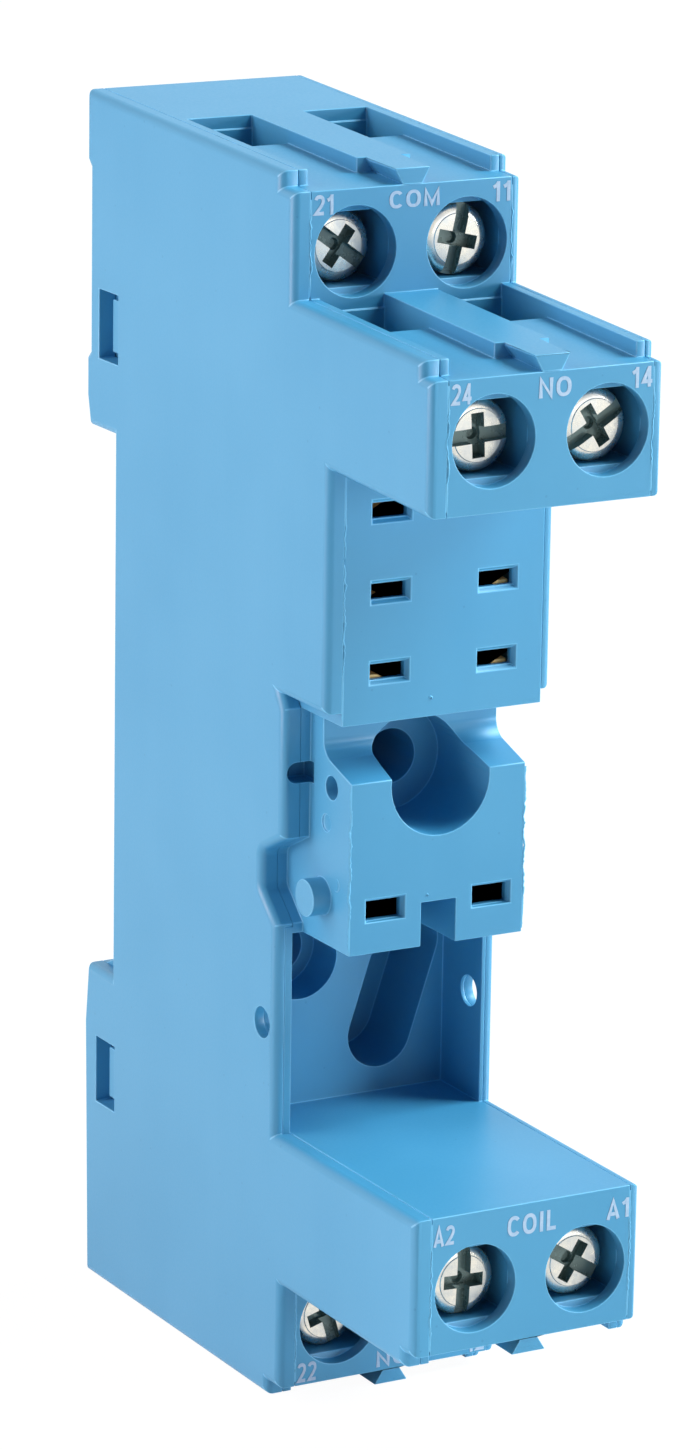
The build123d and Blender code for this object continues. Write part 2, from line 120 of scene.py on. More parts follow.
class NodeTree:
    """Short hand for building a shader node tree.

    Args:
        tree: the node tree that the nodes go into.
    """

    def __init__(self, tree: bpy.types.NodeTree) -> None:
        """Keeps the tree."""
        self.tree = tree

    def add(self, kind: str, values: dict | None = None, **settings: object) -> bpy.types.Node:
        """Adds one node.

        Args:
            kind: the node's type name, without the ShaderNode prefix.
            values: input sockets' names or indices and their values or the sockets that feed them.
            settings: the node's own properties.

        Returns:
            The new node.
        """
        node = self.tree.nodes.new(kind if kind.startswith("Node") else "ShaderNode" + kind)
        for name, value in settings.items():
            setattr(node, name, value)
        for name, value in (values or {}).items():
            self.feed(node.inputs[name], value)
        return node

    def feed(self, socket: bpy.types.NodeSocket, value: object) -> None:
        """Links a socket to another or sets its value.

        Args:
            socket: the input socket.
            value: the socket that feeds it, or its value.
        """
        if isinstance(value, bpy.types.NodeSocket):
            self.tree.links.new(value, socket)
        else:
            socket.default_value = value

    def blend(self, factor: object, low: object, high: object) -> bpy.types.NodeSocket:
        """Mixes two colours.

        Args:
            factor: how much of the second colour shows.
            low: the first colour or its socket.
            high: the second colour or its socket.

        Returns:
            The mixed colour's socket.
        """
        node = self.add("Mix", data_type="RGBA")
        for index, value in ((0, factor), (6, low), (7, high)):
            self.feed(node.inputs[index], value)
        return node.outputs[2]

    def maths(self, operation: str, *values: object) -> bpy.types.NodeSocket:
        """Adds a Math node.

        Args:
            operation: what the node does.
            values: the numbers or sockets that it takes.

        Returns:
            The result's socket.
        """
        node = self.add("Math", operation=operation)
        for index, value in enumerate(values):
            self.feed(node.inputs[index], value)
        return node.outputs[0]

    def spread(
        self, value: object, low: float = 0.0, high: float = 1.0, to_low: float = 0.0, to_high: float = 1.0
    ) -> bpy.types.NodeSocket:
        """Maps one range to another, clamped.

        Args:
            value: the number or socket that is mapped.
            low: where the range starts.
            high: where the range ends.
            to_low: what its start becomes.
            to_high: what its end becomes.

        Returns:
            The result's socket.
        """
        node = self.add("MapRange", {0: value, 1: low, 2: high, 3: to_low, 4: to_high})
        return node.outputs[0]


def new_group(
    name: str, inputs: dict[str, str], outputs: dict[str, str]
) -> tuple[NodeTree, bpy.types.Node, bpy.types.Node]:
    """Makes an empty shader node group.

    Args:
        name: the group's name.
        inputs: names and socket types of its inputs.
        outputs: names and socket types of its outputs.

    Returns:
        The group's tree, its input node and its output node.
    """
    group = bpy.data.node_groups.new(name, "ShaderNodeTree")
    for title, kind in inputs.items():
        group.interface.new_socket(title, in_out="INPUT", socket_type="NodeSocket" + kind)
    for title, kind in outputs.items():
        group.interface.new_socket(title, in_out="OUTPUT", socket_type="NodeSocket" + kind)
    tree = NodeTree(group)
    return tree, tree.add("NodeGroupInput"), tree.add("NodeGroupOutput")


class Effects:
    """Shader node groups that the finishes share."""

    def __init__(self) -> None:
        """Builds both groups."""
        self.grain = self.build_grain()
        self.tarnish = self.build_tarnish()

    @staticmethod
    def build_grain() -> bpy.types.NodeTree:
        """Builds the fine skin, the slow tone change and the specks of a moulded surface.

        Returns:
            The group.
        """
        tree, start, end = new_group(
            "surface_grain",
            {"Fine Scale": "Float", "Broad Scale": "Float", "Streak": "Float"},
            {"Height": "Float", "Tone": "Float", "Speck": "Float"},
        )
        place = tree.add("TexCoord").outputs["Object"]
        fine = tree.add(
            "TexNoise",
            {"Vector": place, "Scale": start.outputs["Fine Scale"], "Detail": 3.0, "Roughness": 0.6},
        )
        broad = tree.add("TexNoise", {"Vector": place, "Scale": start.outputs["Broad Scale"], "Detail": 2.0})
        stretched = tree.add("Mapping", {"Vector": place, "Scale": (1.0, 1.0, 0.08)})
        streaks = tree.add("TexNoise", {"Vector": stretched.outputs[0], "Scale": 420.0, "Detail": 2.0})
        centred = tree.maths("SUBTRACT", streaks.outputs["Fac"], 0.5)
        streak_part = tree.maths("MULTIPLY", centred, start.outputs["Streak"])
        tone = tree.maths("ADD", broad.outputs["Fac"], streak_part)
        specks = tree.add("TexVoronoi", {"Vector": place, "Scale": 560.0, "Randomness": 1.0})
        speck = tree.spread(specks.outputs["Distance"], low=0.035, high=0.055, to_low=1.0, to_high=0.0)
        tree.feed(end.inputs["Height"], fine.outputs["Fac"])
        tree.feed(end.inputs["Tone"], tone)
        tree.feed(end.inputs["Speck"], speck)
        return tree.tree

    @staticmethod
    def build_tarnish() -> bpy.types.NodeTree:
        """Builds the blotches and fine scratches of metal, whose blotches also thin the ink and, on the
        zinc, partly stand for painted reflection.

        Returns:
            The group.
        """
        tree, start, end = new_group(
            "metal_tarnish",
            {"Blotch Scale": "Float", "Scratch Scale": "Float"},
            {"Blotch": "Float", "Scratch": "Float"},
        )
        place = tree.add("TexCoord").outputs["Object"]
        blotch = tree.add(
            "TexNoise",
            {"Vector": place, "Scale": start.outputs["Blotch Scale"], "Detail": 5.0, "Roughness": 0.65},
        )
        turned = tree.add(
            "Mapping",
            {"Vector": place, "Rotation": (0.0, radians(38), 0.0), "Scale": (1.0, 1.0, 0.06)},
        )
        scratch = tree.add(
            "TexNoise",
            {"Vector": turned.outputs[0], "Scale": start.outputs["Scratch Scale"], "Detail": 2.0},
        )
        tree.feed(end.inputs["Blotch"], tree.spread(blotch.outputs["Fac"], low=0.35, high=0.7))
        tree.feed(end.inputs["Scratch"], tree.spread(scratch.outputs["Fac"], low=0.55, high=0.75))
        return tree.tree


def new_material(name: str) -> tuple[bpy.types.Material, NodeTree, bpy.types.Node]:
    """Makes a material with a bare Principled BSDF.

    Args:
        name: the material's name.

    Returns:
        The material, its node tree and its Principled BSDF.
    """
    material = bpy.data.materials.new(name)
    material.use_nodes = True
    tree = NodeTree(material.node_tree)
    shader = material.node_tree.nodes["Principled BSDF"]
    return material, tree, shader


@dataclass(frozen=True)
class MouldedPlastic:
    """Satin blue engineering plastic with a painted highlight on its rounded edges."""

    name: str = "moulded_plastic"
    body: Colour = (0.058, 0.300, 0.530)
    pale: Colour = (0.072, 0.326, 0.560)
    # The edge colour is a painted highlight, laid on the rounded edges and on the ridges.
    edge: Colour = (0.170, 0.520, 0.800)
    speck: Colour = (0.020, 0.150, 0.320)
    edge_highlight_share: float = 0.7
    speck_share: float = 0.25
    roughness: float = 0.40
    smoother: float = 0.03
    rougher: float = 0.05
    fine_scale: float = 5200.0
    broad_scale: float = 70.0
    streak: float = 0.22
    bump: float = 0.05
    bump_depth: float = 0.00004

    def build(self, effects: Effects) -> bpy.types.Material:
        """Makes the material.

        Args:
            effects: the shared node groups.

        Returns:
            The material.
        """
        material, tree, shader = new_material(self.name)
        grain = tree.add(
            "Group",
            {"Fine Scale": self.fine_scale, "Broad Scale": self.broad_scale, "Streak": self.streak},
            node_tree=effects.grain,
        )
        tone = tree.spread(grain.outputs["Tone"], low=0.3, high=0.7)
        colour = tree.blend(tone, rgba(self.body), rgba(self.pale))
        specks = tree.maths("MULTIPLY", grain.outputs["Speck"], self.speck_share)
        colour = tree.blend(specks, colour, rgba(self.speck))
        # Painted highlight: the rounded edges, marked by the mask, take the paler edge colour.
        edge_highlight = tree.add("Attribute", attribute_name="edge_highlight_mask").outputs["Fac"]
        colour = tree.blend(tree.maths("MULTIPLY", edge_highlight, self.edge_highlight_share), colour, rgba(self.edge))
        tree.feed(shader.inputs["Base Color"], colour)
        height = grain.outputs["Height"]
        smooth, rough = self.roughness - self.smoother, self.roughness + self.rougher
        tree.feed(shader.inputs["Roughness"], tree.spread(height, 0.3, 0.7, smooth, rough))
        bump = tree.add("Bump", {"Height": height, "Strength": self.bump, "Distance": self.bump_depth})
        tree.feed(shader.inputs["Normal"], bump.outputs[0])
        return material


@dataclass(frozen=True)
class Metal:
    """Bare or plated metal with blotches, fine scratches and painted shade in its recess."""

    name: str
    bright: Colour
    tarnish_and_reflection: Colour
    # The dark colour is painted shade for a recess.
    dark: Colour
    roughness: float
    rough_spread: float = 0.18
    blotch_scale: float = 900.0
    scratch_scale: float = 9000.0
    scratch_bump: float = 0.12
    scratch_depth: float = 0.00002
    metallic: float = 1.0
    recess_metallic: float = 0.35
    glow: float = 0.0

    def build(self, effects: Effects) -> bpy.types.Material:
        """Makes the material.

        Args:
            effects: the shared node groups.

        Returns:
            The material.
        """
        material, tree, shader = new_material(self.name)
        tarnish = tree.add(
            "Group",
            {"Blotch Scale": self.blotch_scale, "Scratch Scale": self.scratch_scale},
            node_tree=effects.tarnish,
        )
        blotch = tarnish.outputs["Blotch"]
        # Blotches of tarnish; on the zinc they are partly painted reflection.
        colour = tree.blend(blotch, rgba(self.bright), rgba(self.tarnish_and_reflection))
        # Painted shade: the recess takes the darker colour and, below, less metallic.
        recess = tree.add("Attribute", attribute_name="recess_shade_mask").outputs["Fac"]
        colour = tree.blend(recess, colour, rgba(self.dark))
        tree.feed(shader.inputs["Base Color"], colour)
        rough = tree.spread(blotch, to_low=self.roughness, to_high=self.roughness + self.rough_spread)
        tree.feed(shader.inputs["Roughness"], rough)
        scratch = tarnish.outputs["Scratch"]
        bump = tree.add(
            "Bump",
            {"Height": scratch, "Strength": self.scratch_bump, "Distance": self.scratch_depth},
        )
        tree.feed(shader.inputs["Normal"], bump.outputs[0])
        metallic = tree.spread(recess, to_low=self.metallic, to_high=self.recess_metallic)
        tree.feed(shader.inputs["Metallic"], metallic)
        tree.feed(shader.inputs["Emission Color"], colour)
        shader.inputs["Emission Strength"].default_value = self.glow
        return material


@dataclass(frozen=True)
class PadInk:
    """Pale pad-printed ink, thin in places."""

    name: str = "pad_ink"
    solid: Colour = (0.48, 0.58, 0.74)
    thin: Colour = (0.22, 0.42, 0.66)
    thin_share: float = 0.6
    blotch_scale: float = 2600.0
    roughness: float = 0.55

    def build(self, effects: Effects) -> bpy.types.Material:
        """Makes the material.

        Args:
            effects: the shared node groups.

        Returns:
            The material.
        """
        material, tree, shader = new_material(self.name)
        tarnish = tree.add("Group", {"Blotch Scale": self.blotch_scale}, node_tree=effects.tarnish)
        thinned = tree.maths("MULTIPLY", tarnish.outputs["Blotch"], self.thin_share)
        tree.feed(shader.inputs["Base Color"], tree.blend(thinned, rgba(self.solid), rgba(self.thin)))
        shader.inputs["Roughness"].default_value = self.roughness
        return material


PLASTIC = MouldedPlastic()

# The brass glows a little, in place of the light that reaches it inside the narrow slots.
BRASS = Metal(
    "brass",
    bright=(0.72, 0.53, 0.24),
    tarnish_and_reflection=(0.50, 0.36, 0.16),
    dark=(0.2, 0.14, 0.06),
    roughness=0.45,
    metallic=0.6,
    glow=0.04,
)
PLATED_STEEL = Metal(
    "plated_steel",
    bright=(0.62, 0.62, 0.60),
    tarnish_and_reflection=(0.42, 0.43, 0.42),
    dark=(0.2, 0.2, 0.2),
    roughness=0.3,
)
# The zinc's bluish blotches are partly tarnish and partly painted reflection, the blue-grey patches on the
# heads' faces; its dark colour is painted shade in the recess.
ZINC = Metal(
    "zinc_plating",
    bright=(0.80, 0.77, 0.68),
    tarnish_and_reflection=(0.50, 0.53, 0.54),
    dark=(0.15, 0.21, 0.20),
    roughness=0.20,
)
INK = PadInk()


def link(mesh: bpy.types.Mesh, name: str) -> bpy.types.Object:
    """Puts a mesh into the scene as an object at the origin.

    Args:
        mesh: the mesh.
        name: the object's name.

    Returns:
        The new object.
    """
    piece = bpy.data.objects.new(name, mesh)
    bpy.context.scene.collection.objects.link(piece)
    return piece


def finish_mesh(
    bm: bmesh.types.BMesh, name: str, material: bpy.types.Material, sharp: float = 32.0
) -> bpy.types.Object:
    """Turns a bmesh into a smooth-shaded piece with crisp creases.

    Args:
        bm: the mesh, which is freed.
        name: the piece's name.
        material: its finish.
        sharp: angle in degrees above which an edge stays a crease.

    Returns:
        The new object.
    """
    mesh = bpy.data.meshes.new(name)
    bm.to_mesh(mesh)
    bm.free()
    mesh.materials.append(material)
    for polygon in mesh.polygons:
        polygon.use_smooth = True
    mesh.set_sharp_from_angle(angle=radians(sharp))
    piece = link(mesh, name)
    weighted = piece.modifiers.new("weighted", "WEIGHTED_NORMAL")
    weighted.keep_sharp = True
    return piece


def keep(piece: bpy.types.Object, slot: Slot, body: str = ROOT, *nodes: str) -> bpy.types.Object:
    """Fixes a finished piece to its CAD body and hides the CAD nodes that it replaces.

    Args:
        piece: the finished piece, at the origin.
        slot: the record's material slot; not used.
        body: the CAD body that it rides on.
        nodes: the CAD nodes that it replaces.

    Returns:
        The same piece.
    """
    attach(piece, body)
    if nodes:
        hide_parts(*nodes)
    log.info("%s rides on %s, %d faces", piece.name, body, len(piece.data.polygons))
    return piece


@dataclass(frozen=True)
class Throat:
    """Inner part of the block's two slots, which is taller in the photograph than in the CAD.

    Lengths are in millimetres. The ceiling and the floor are found by their distance from the slots' middle.
    """

    middle: float = -6.4
    near: float = 0.3
    far: float = 2.4
    low: float = 0.45
    high: float = 0.6
    raised: float = 0.06
    lowered: float = 0.18

    def settle(self, place: Vector) -> None:
        """Raises the ceiling and lowers the floor.

        Args:
            place: a corner of the moulding, which is moved if it is one of the throat's.
        """
        _, y, z = place / MM
        rise = z - self.middle
        inside = SECTION.seat_front + self.near < y < SECTION.seat_front + self.far
        if inside and self.low < abs(rise) < self.high:
            place.z += (self.raised if rise > 0 else -self.lowered) * MM


THROAT = Throat()


@dataclass(frozen=True)
class Key:
    """Dovetail key at the end of a rib, which the photograph shows flush with the front face.

    Lengths are in millimetres. The way is 1 for a key above its front face and -1 for one below it. The edge
    is the height of the trough's floor there. The slopes are those of that floor and of the rib's sides.
    """

    front: float
    edge: float
    setback: float
    way: int
    length: float = 3.65
    floor_slope: float = 0.06
    rail_slope: float = 0.05
    skin: float = 0.03
    below: float = 0.05
    foot: float = 0.5
    top: float = 1.3
    near: float = 0.01
    shoulder_foot: float = 0.3
    shoulder_near: float = 0.05

    def settle(self, place: Vector) -> None:
        """Brings the key's end to the front face, and the floor beside it up to the slope of the trough.

        Args:
            place: a corner of the moulding, which is moved if it is one of the key's.
        """
        depth = place.y / MM - self.front
        height = self.way * (place.z / MM - self.edge)
        if abs(depth - self.length) < self.near and abs(height) < self.near:
            place.z += self.way * self.floor_slope * self.length * MM
        if abs(depth - self.setback) < self.near and -self.below < height < self.top:
            slope = self.floor_slope if height < self.foot else self.rail_slope
            place.y = (max(self.front, SECTION.face) + self.skin) * MM
            place.z -= self.way * slope * self.setback * MM

    def has_shoulder_at(self, y: float, z: float) -> bool:
        """Tells whether a point is where the rib's shoulder meets the key.

        Args:
            y: the point's depth.
            z: its height.

        Returns:
            True for a point of the shoulder.
        """
        at_end = abs(y - self.front - self.length) < self.shoulder_near
        return at_end and self.shoulder_foot < self.way * (z - self.edge) < self.top


KEYS = (
    Key(SECTION.back_front, 37.4, 1.6, 1),
    Key(SECTION.main_front, 29.0, 1.15, 1),
    Key(SECTION.main_front, -30.9, 1.15, -1, floor_slope=0.0, rail_slope=0.0),
    Key(SECTION.back_front, -38.7, 1.6, -1, floor_slope=0.0, rail_slope=0.0),
)


@dataclass(frozen=True)
class FlushWalls:
    """Where the covers' walls run flush into the housing beside the central block, in millimetres."""

    front: float = -24.0
    back: float = -19.9
    low: float = -9.2
    high: float = 5.7

    def hold(self, place: Vector) -> bool:
        """Tells whether a point is on a joint of two such walls.

        Args:
            place: the point, in millimetres.

        Returns:
            True for a point of the joint.
        """
        x, y, z = place
        at_seam = min(abs(x - SECTION.left_seam), abs(x - SECTION.right_seam)) < 2 * SECTION.joint
        return at_seam and self.front < y < self.back and self.low < z < self.high


FLUSH_WALLS = FlushWalls()


def stays_crisp(place: Vector) -> bool:
    """Tells whether a sharp edge of a moulding is left as it is.

    Rounded, the joint of two flush walls would open into a groove, and a rib's right shoulder would catch
    the light.

    Args:
        place: the edge's middle.

    Returns:
        True for an edge that isn't rounded.
    """
    x, y, z = place / MM
    if SECTION.rib_top_half < x - SECTION.centre < SECTION.rib_half:
        return any(key.has_shoulder_at(y, z) for key in KEYS)
    return FLUSH_WALLS.hold(place / MM)


@dataclass(frozen=True)
class EdgeBreak:
    """How the sharp edges of a moulded or stamped piece are broken, in millimetres and degrees."""

    width: float = 0.06
    angle: float = 28.0
    segments: int = 2
    weld: float = 0.0005
    flat: float = 0.4
    sliver: float = 0.001
    settled_weld: float = 0.002

    def copy_of(self, node: str, settle: Callable[[Vector], None] | None = None) -> bmesh.types.BMesh:
        """Copies a CAD node's mesh, welds it and rounds its sharp edges.

        Args:
            node: the CAD node's name.
            settle: moves a vertex's place a little before the edges are rounded.

        Returns:
            The copy, whose rounded edges are marked with 1 for the painted edge highlight.
        """
        bm = bmesh.new()
        bm.from_mesh(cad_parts[node].data)
        bmesh.ops.remove_doubles(bm, verts=bm.verts, dist=self.weld * MM)
        bmesh.ops.dissolve_limit(bm, angle_limit=radians(self.flat), verts=bm.verts, edges=bm.edges)
        bmesh.ops.dissolve_degenerate(bm, dist=self.sliver * MM, edges=bm.edges)
        if settle is not None:
            for vert in bm.verts:
                settle(vert.co)
            bmesh.ops.remove_doubles(bm, verts=bm.verts, dist=self.settled_weld * MM)
            bmesh.ops.dissolve_degenerate(bm, dist=self.sliver * MM, edges=bm.edges)
        # Marks the rounded edges for the painted edge highlight.
        mask = bm.faces.layers.float.new("edge_highlight_mask")
        sharp = [e for e in bm.edges if len(e.link_faces) == 2 and e.calc_face_angle() > radians(self.angle)]
        if settle is not None:
            sharp = [e for e in sharp if not stays_crisp((e.verts[0].co + e.verts[1].co) / 2)]
        rounded = bmesh.ops.bevel(
            bm,
            geom=sharp,
            offset=self.width * MM,
            offset_type="OFFSET",
            segments=self.segments,
            profile=0.5,
            affect="EDGES",
            clamp_overlap=False,
            material=-1,
        )
        for face in rounded["faces"]:
            face[mask] = 1.0
        return bm


@dataclass
class Shell:
    """The moulded housing and its two covers."""

    plastic: bpy.types.Material
    edges: EdgeBreak = EdgeBreak()

    @staticmethod
    def settle(place: Vector) -> None:
        """Sets the front faces back, lowers the lip and moves the corners of the throat and the keys.

        The lip beside the lower recess stands so little above its rebate that the rounding would eat it.

        Args:
            place: a corner of the moulding, which is moved.
        """
        if place.y < SECTION.face * MM:
            place.y = SECTION.face * MM
        x, _, z = place / MM
        at_lip = SECTION.lip_left - SECTION.joint < x < SECTION.left_seam + SECTION.joint
        if at_lip and abs(z - SECTION.lip_top) < SECTION.lip_near:
            place.z -= SECTION.lip_lowered * MM
        THROAT.settle(place)
        if abs(x - SECTION.centre) < SECTION.rib_half:
            for key in KEYS:
                key.settle(place)

    @staticmethod
    def settle_cover(place: Vector) -> None:
        """Leaves a fine dark joint between a cover and the housing, a third as wide on the right.

        Args:
            place: a corner of the cover, which is moved.
        """
        Shell.settle(place)
        for seam, gap in ((SECTION.left_seam, -SECTION.joint), (SECTION.right_seam, SECTION.joint / 3)):
            if abs(place.x - seam * MM) < SECTION.joint * MM / 2:
                place.x += gap * MM

    def build(self) -> None:
        """Makes the three mouldings."""
        for node, name, settle in (
            ("housing_body", "housing_moulding", self.settle),
            ("left_cover", "left_cover_moulding", self.settle_cover),
            ("right_cover", "right_cover_moulding", self.settle_cover),
        ):
            keep(finish_mesh(self.edges.copy_of(node, settle), name, self.plastic), Slot.PLASTIC, ROOT, node)


def skin(bm: bmesh.types.BMesh, rings: list[Ring]) -> None:
    """Closes a run of equal rings of points into one solid.

    Args:
        bm: the mesh that gets the faces.
        rings: the rings, each with its points in the same order, in millimetres.
    """
    verts = [[bm.verts.new(point * MM) for point in ring] for ring in rings]
    for lower, upper in zip(verts, verts[1:]):
        for corner in range(len(lower)):
            other = (corner + 1) % len(lower)
            bm.faces.new((lower[corner], lower[other], upper[other], upper[corner]))
    bm.faces.new(verts[0])
    bm.faces.new(verts[-1])


def lay_ridge(name: str, rings: list[Ring], plastic: bpy.types.Material) -> None:
    """Makes one thin ridge of plastic, with the painted edge highlight all over, and fixes it to the socket.

    Args:
        name: the piece's name.
        rings: its sections from end to end, in millimetres.
        plastic: its finish.
    """
    bm = bmesh.new()
    skin(bm, rings)
    bmesh.ops.recalc_face_normals(bm, faces=bm.faces)
    # The whole ridge takes the painted edge highlight.
    mask = bm.faces.layers.float.new("edge_highlight_mask")
    for face in bm.faces:
        face[mask] = 1.0
    keep(finish_mesh(bm, name, plastic, sharp=60.0), Slot.PLASTIC)


@dataclass(frozen=True)
class FlashLine:
    """One stretch of mould flash: where it stands in X and Y, and its ends in Z, in millimetres."""

    name: str
    x: float
    y: float
    low: float
    high: float


FLASH_LINES = (
    FlashLine("com_left", SECTION.left_seam, SECTION.back_front, 31.0, 36.9),
    FlashLine("no_left", SECTION.left_seam, SECTION.face, 21.2, 28.7),
    FlashLine("seat_left", SECTION.left_seam, SECTION.seat_front, 5.8, 20.9),
    FlashLine("coil_left", SECTION.left_seam, SECTION.face, -30.6, -22.5),
    FlashLine("nc_left", SECTION.left_seam, SECTION.back_front, -38.4, -32.1),
    FlashLine("block_left", SECTION.block_left, SECTION.seat_front, -8.9, 1.5),
    FlashLine("block_right", SECTION.block_right, SECTION.seat_front, -8.9, 1.5),
    FlashLine("com_right", SECTION.right_seam, SECTION.back_front, 31.0, 36.9),
    FlashLine("no_right", SECTION.right_seam, SECTION.face, 21.2, 28.7),
    FlashLine("coil_right", SECTION.right_seam, SECTION.face, -30.6, -22.5),
)


@dataclass
class MouldFlash:
    """Thin uneven ridges of plastic that the mould left along its parting edges, in millimetres.

    The crest's sway and lift wander: each keeps a part of its last value and takes the rest by chance.
    """

    plastic: bpy.types.Material
    pitch: float = 0.13
    width: float = 0.2
    sway: float = 0.06
    sink: float = 0.02
    sway_kept: float = 0.72
    lift_kept: float = 0.6
    least_height: float = 0.15
    least_width: float = 0.35
    fewest: int = 4
    end_fade: float = 4.0
    seed: int = 7

    def build(self, line: FlashLine) -> None:
        """Makes one ridge, a strip of three-sided sections that fades at both ends.

        Args:
            line: where the ridge stands.
        """
        chance = random.Random(f"{self.seed}-{line.name}")
        count = max(self.fewest, round((line.high - line.low) / self.pitch))
        sway = lift = 0.0
        rings = []
        for step in range(count + 1):
            sway = sway * self.sway_kept + chance.uniform(-1.0, 1.0) * self.sway
            lift = lift * self.lift_kept + chance.uniform(0.0, 1.0) * (1.0 - self.lift_kept)
            fade = min(1.0, self.end_fade * min(step, count - step) / count)
            height = SECTION.relief * (self.least_height + (1.0 - self.least_height) * lift) * fade
            half = self.width / 2 * (self.least_width + lift)
            z = line.low + (line.high - line.low) * step / count
            middle = line.x + sway * fade
            rings.append(
                [
                    Vector((middle - half, line.y + self.sink, z)),
                    Vector((middle, line.y - height, z)),
                    Vector((middle + half, line.y + self.sink, z)),
                ]
            )
        lay_ridge("flash_" + line.name, rings, self.plastic)


@dataclass(frozen=True)
class Witness:
    """One round mark of a gate or an ejector.

    It has a middle and a radius in millimetres, the way that it faces, and its arc's start and sweep in
    degrees.
    """

    name: str
    middle: Point
    facing: Point
    radius: float
    start: float
    sweep: float


WITNESSES = (
    Witness("gate_flank", (SECTION.block_left, -26.64, -5.02), (-1.0, 0.0, 0.0), 0.42, 100.0, 190.0),
    Witness("gate_top", (SECTION.centre - 4.4, -12.0, 36.9), (0.0, 0.0, 1.0), 0.16, 0.0, 200.0),
    Witness("pin_seat", (-0.55, SECTION.seat_front, 6.6), (0.0, -1.0, 0.0), 0.11, 0.0, 300.0),
    Witness("pin_block", (-0.55, SECTION.seat_front, -5.9), (0.0, -1.0, 0.0), 0.10, 40.0, 300.0),
)


@dataclass
class MouldWitness:
    """Small curved ridges where a gate was cut off or a pin pushed the moulding out, in millimetres."""

    plastic: bpy.types.Material
    width: float = 0.13
    height: float = 0.07
    sink: float = 0.01
    blunt: float = 0.06
    steps: int = 20

    def build(self, mark: Witness) -> None:
        """Makes one curved ridge with tapering ends.

        Args:
            mark: where it is and how far it runs.
        """
        facing = Vector(mark.facing)
        upright = Vector((0.0, 1.0, 0.0)) if abs(facing.z) > 0.5 else Vector((0.0, 0.0, 1.0))
        across = facing.cross(upright)
        rings = []
        for step in range(self.steps + 1):
            angle = radians(mark.start + mark.sweep * step / self.steps)
            outward = across * cos(angle) + upright * sin(angle)
            taper = sin(pi * (self.blunt + (1.0 - 2.0 * self.blunt) * step / self.steps))
            crest = Vector(mark.middle) + outward * mark.radius
            half = outward * self.width / 2 * taper
            foot = facing * self.sink
            rings.append([crest - half - foot, crest + facing * self.height * taper, crest + half - foot])
        lay_ridge("witness_" + mark.name, rings, self.plastic)


@dataclass(frozen=True)
class Terminal:
    """One screw terminal: its name and how its screw is turned, in degrees."""

    name: str
    turn: float


TERMINALS = (
    Terminal("21", -36.0),
    Terminal("11", 77.0),
    Terminal("24", 3.0),
    Terminal("14", 31.0),
    Terminal("A2", 88.0),
    Terminal("A1", -32.0),
    Terminal("22", -73.0),
    Terminal("12", 20.0),
)


